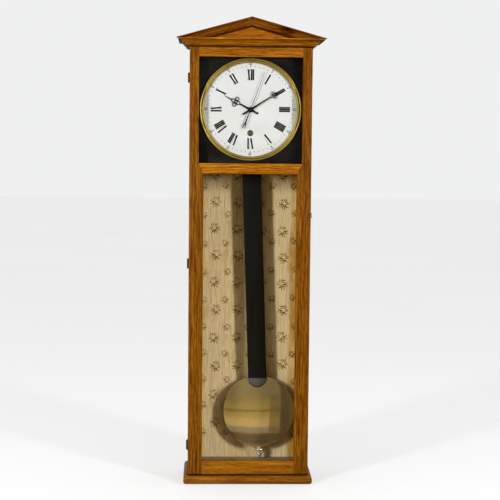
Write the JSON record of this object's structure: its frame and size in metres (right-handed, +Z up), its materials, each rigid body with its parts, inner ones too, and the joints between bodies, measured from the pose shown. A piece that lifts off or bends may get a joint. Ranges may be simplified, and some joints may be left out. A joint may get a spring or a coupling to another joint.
{
  "type": "regulator clock",
  "caption": "Tall wall regulator clock with a glazed full length door, white dial with centre seconds, pedimented top and a seconds pendulum with a black rod and brass bob.",
  "frame": {"origin": "centre of the bounding box's footprint, at the underside of the base", "axes": "+Z up, -Y towards the viewer of the dial, +X to the viewer's right"},
  "size_m": [0.452, 0.227, 1.4297],
  "materials": {
    "walnut": "satin",
    "pale_wood": "satin",
    "lining": "matt, printed sprigs",
    "margin": "satin",
    "black_board": "satin black",
    "ebonised": "satin black",
    "glass": "clear",
    "dial_white": "satin white",
    "blued_steel": "blued",
    "dark_metal": "patinated",
    "iron": "painted",
    "steel": "polished",
    "brass": "polished"
  },
  "bodies": {
    "case": {"plinth_board": "walnut", "plinth_front": "walnut", "plinth_sides": "walnut", "side_left": "walnut", "side_right": "walnut", "backboard": "walnut", "hanger_plate": "blued_steel", "floor_board": "pale_wood", "top_board": "walnut", "face_posts": "walnut", "face_rails": "walnut", "mask_stops": "walnut", "back_lining": "lining", "lining_margins": "margin", "cornice_front": "walnut", "cornice_sides": "walnut", "pediment_panel": "walnut", "raking_left": "walnut", "raking_right": "walnut", "roof_boards": "walnut", "gable_back": "walnut", "dial_mask": "black_board", "bezel": "brass", "dial": "dial_white", "winding_bush": "brass", "front_plate": "brass", "back_plate": "brass", "pillars": "brass", "seat_brackets": "iron", "suspension_bracket": "iron", "click_spring": "blued_steel", "hinge_frame_leaves": "dark_metal", "hook_screw": "brass"},
    "door": {"door_frame": "walnut", "mid_rail": "walnut", "inner_strips": "walnut", "bottom_rail": "walnut", "upper_glass": "glass", "lower_glass": "glass", "glass_beads": "walnut", "door_hardware": "dark_metal"},
    "hook": {"latch_hook": "dark_metal"},
    "barrel": {"barrel": "brass", "mainspring": "blued_steel"},
    "winding": {"winding_arbor": "steel"},
    "click": {"click": "steel"},
    "second": {"second_wheel": "brass"},
    "hour_arbor": {"hour_arbor_wheel": "brass"},
    "third": {"third_wheel": "brass"},
    "seconds": {"escape_wheel": "brass", "seconds_hand": "blued_steel"},
    "minute": {"cannon_wheel": "brass", "minute_hand": "blued_steel"},
    "idler": {"idler_wheel": "brass"},
    "hour": {"hour_wheel": "brass", "hour_hand": "blued_steel"},
    "anchor": {"pallets": "steel"},
    "pendulum": {"pendulum_rod": "ebonised"},
    "bob": {"bob": "brass"},
    "nut": {"rating_nut": "brass"}
  },
  "joints": [
    {"name": "door_hinge", "type": "hinge", "parent": "case", "child": "door", "pos_m": [-0.1888, -0.051, 0.027], "axis": [0, 0, -1], "range_deg": [0, 105]},
    {"name": "hook_turn", "type": "hinge", "parent": "case", "child": "hook", "pos_m": [0.187, -0.0375, 0.83259], "axis": [1, 0, 0], "range_deg": [-70, 14]},
    {"name": "seconds_spin", "type": "hinge", "parent": "case", "child": "seconds", "pos_m": [0, 0.0165, 1.15457], "axis": [0, -1, 0], "continuous": true},
    {"name": "third_spin", "type": "hinge", "parent": "case", "child": "third", "pos_m": [-0.03145, 0.0165, 1.16506], "axis": [0, -1, 0], "continuous": true},
    {"name": "hour_arbor_spin", "type": "hinge", "parent": "case", "child": "hour_arbor", "pos_m": [-0.038, 0.0165, 1.13057], "axis": [0, -1, 0], "continuous": true},
    {"name": "second_spin", "type": "hinge", "parent": "case", "child": "second", "pos_m": [-0.04693, 0.0165, 1.0957], "axis": [0, -1, 0], "continuous": true},
    {"name": "barrel_spin", "type": "hinge", "parent": "case", "child": "barrel", "pos_m": [0, 0.0165, 1.08307], "axis": [0, -1, 0], "continuous": true},
    {"name": "idler_spin", "type": "hinge", "parent": "case", "child": "idler", "pos_m": [-0.00863, -0.0155, 1.12616], "axis": [0, -1, 0], "continuous": true},
    {"name": "minute_spin", "type": "hinge", "parent": "case", "child": "minute", "pos_m": [0, -0.0155, 1.15457], "axis": [0, -1, 0], "continuous": true},
    {"name": "hour_spin", "type": "hinge", "parent": "case", "child": "hour", "pos_m": [0, -0.0195, 1.15457], "axis": [0, -1, 0], "continuous": true},
    {"name": "winding_spin", "type": "hinge", "parent": "case", "child": "winding", "pos_m": [0, -0.0115, 1.08307], "axis": [0, -1, 0], "continuous": true},
    {"name": "click_lift", "type": "hinge", "parent": "case", "child": "click", "pos_m": [0.024, -0.0125, 1.09707], "axis": [0, -1, 0], "range_deg": [-4, 12]},
    {"name": "pendulum_swing", "type": "hinge", "parent": "case", "child": "pendulum", "pos_m": [0, 0.0645, 1.197], "axis": [0, -1, 0], "range_deg": [-4.5, 0.3]},
    {"name": "anchor_rock", "type": "hinge", "parent": "case", "child": "anchor", "pos_m": [0, 0.0645, 1.197], "axis": [0, -1, 0], "range_deg": [-4.5, 0.3]},
    {"name": "nut_turn", "type": "hinge", "parent": "bob", "child": "nut", "pos_m": [0.04115, 0.0645, 0.07475], "axis": [-0.0366, 0, 0.9993], "range_deg": [-721, 721]},
    {"name": "bob_slide", "type": "slide", "parent": "pendulum", "child": "bob", "axis": [-0.0366, 0, 0.9993], "range_m": [-0.002, 0.002]}
  ],
  "couplings": [
    {"joint": "third_spin", "follows": "seconds_spin", "ratio": -0.13333},
    {"joint": "hour_arbor_spin", "follows": "seconds_spin", "ratio": 0.016667},
    {"joint": "second_spin", "follows": "seconds_spin", "ratio": -0.0041667},
    {"joint": "barrel_spin", "follows": "seconds_spin", "ratio": 0.00052083},
    {"joint": "idler_spin", "follows": "seconds_spin", "ratio": -0.0083333},
    {"joint": "minute_spin", "follows": "seconds_spin", "ratio": 0.016667},
    {"joint": "hour_spin", "follows": "seconds_spin", "ratio": 0.0013889},
    {"joint": "anchor_rock", "follows": "pendulum_swing", "ratio": 1},
    {"joint": "nut_turn", "follows": "bob_slide", "rad_per_m": 6283.2}
  ]
}
